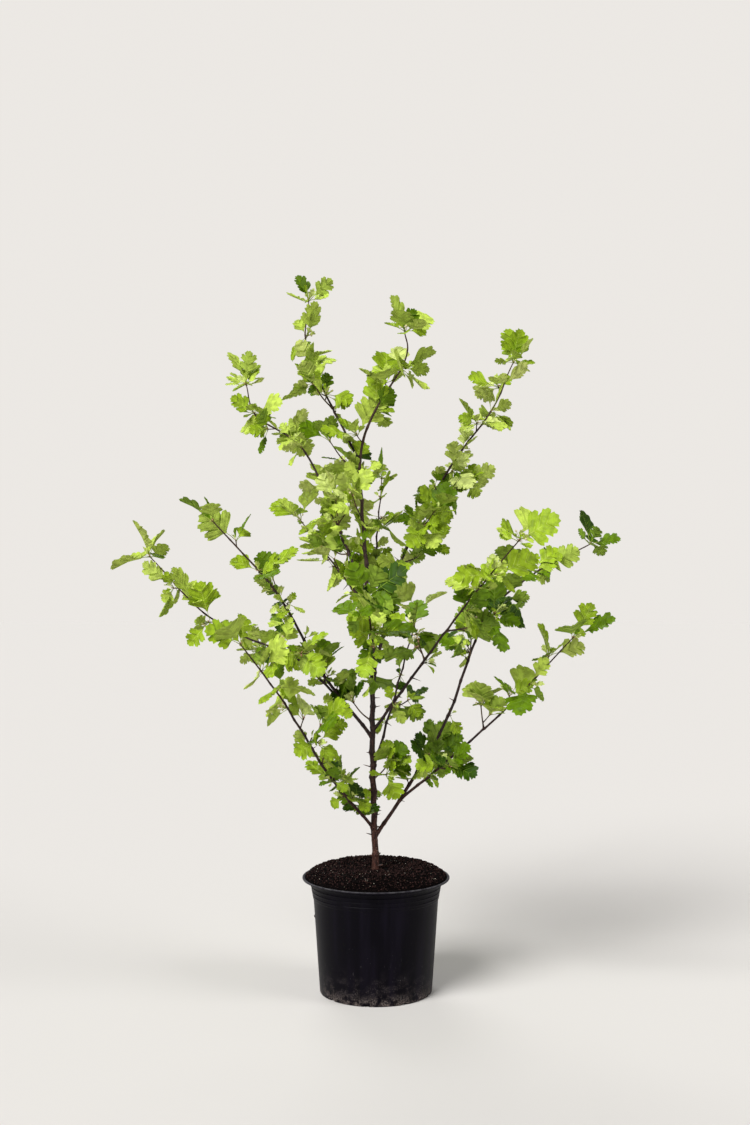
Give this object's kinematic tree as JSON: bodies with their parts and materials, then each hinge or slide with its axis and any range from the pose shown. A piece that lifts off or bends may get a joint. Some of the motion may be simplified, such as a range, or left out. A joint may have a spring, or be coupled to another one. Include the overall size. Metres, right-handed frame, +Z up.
{
  "type": "potted hawthorn",
  "caption": "Young multi-branched hawthorn in a black nursery pot filled with compost: an upright stem, long ascending boughs and clusters of lobed leaves.",
  "frame": {"origin": "centre of the pot's flat underside, on the surface the pot stands on", "axes": "+Z up along the pot's axis, -Y towards the viewer of the front, +X to the viewer's right"},
  "size_m": [0.8109, 0.596, 1.1127],
  "materials": {
    "pot_plastic": "black injection-moulded plastic, satin, dusty at the foot",
    "compost": "moist peat and bark compost with pale specks",
    "bark": "smooth dark purplish-brown young bark with pale pores",
    "foliage": "fresh yellow-green leaves, satin above and paler below"
  },
  "bodies": {
    "root": {"pot": "pot_plastic", "compost": "compost", "trunk": "bark", "bough_right_tall": "bark", "bough_left_tall": "bark", "bough_top": "bark", "bough_left": "bark", "bough_left_long": "bark", "bough_low_left": "bark", "bough_right_long": "bark", "bough_low_right": "bark", "bough_right_front": "bark", "bough_left_back": "bark", "bough_back": "bark", "bough_back_low": "bark", "bough_front": "bark", "leaves_leader_tip": "foliage", "leaves_trunk_1": "foliage", "leaves_trunk_2": "foliage", "leaves_trunk_3": "foliage", "leaves_trunk_4": "foliage", "leaves_trunk_5": "foliage", "leaves_trunk_6": "foliage", "leaves_right_tall_tip": "foliage", "leaves_right_tall_1": "foliage", "leaves_right_tall_2": "foliage", "leaves_right_tall_3": "foliage", "leaves_left_tall_tip": "foliage", "leaves_left_tall_1": "foliage", "leaves_left_tall_2": "foliage", "leaves_left_tall_3": "foliage", "leaves_left_tall_4": "foliage", "leaves_top_tip": "foliage", "leaves_top_1": "foliage", "leaves_left_tip": "foliage", "leaves_left_1": "foliage", "leaves_left_2": "foliage", "leaves_left_long_tip": "foliage", "leaves_left_long_1": "foliage", "leaves_left_long_2": "foliage", "leaves_low_left_tip": "foliage", "leaves_low_left_1": "foliage", "leaves_low_left_2": "foliage", "leaves_right_long_tip": "foliage", "leaves_right_long_1": "foliage", "leaves_right_long_2": "foliage", "leaves_right_long_3": "foliage", "leaves_low_right_tip": "foliage", "leaves_low_right_1": "foliage", "leaves_low_right_2": "foliage", "leaves_right_front_tip": "foliage", "leaves_right_front_1": "foliage", "leaves_right_front_2": "foliage", "leaves_left_back_tip": "foliage", "leaves_left_back_1": "foliage", "leaves_back_tip": "foliage", "leaves_back_1": "foliage", "leaves_back_low_tip": "foliage", "leaves_back_low_1": "foliage", "leaves_front_tip": "foliage"}
  },
  "joints": []
}
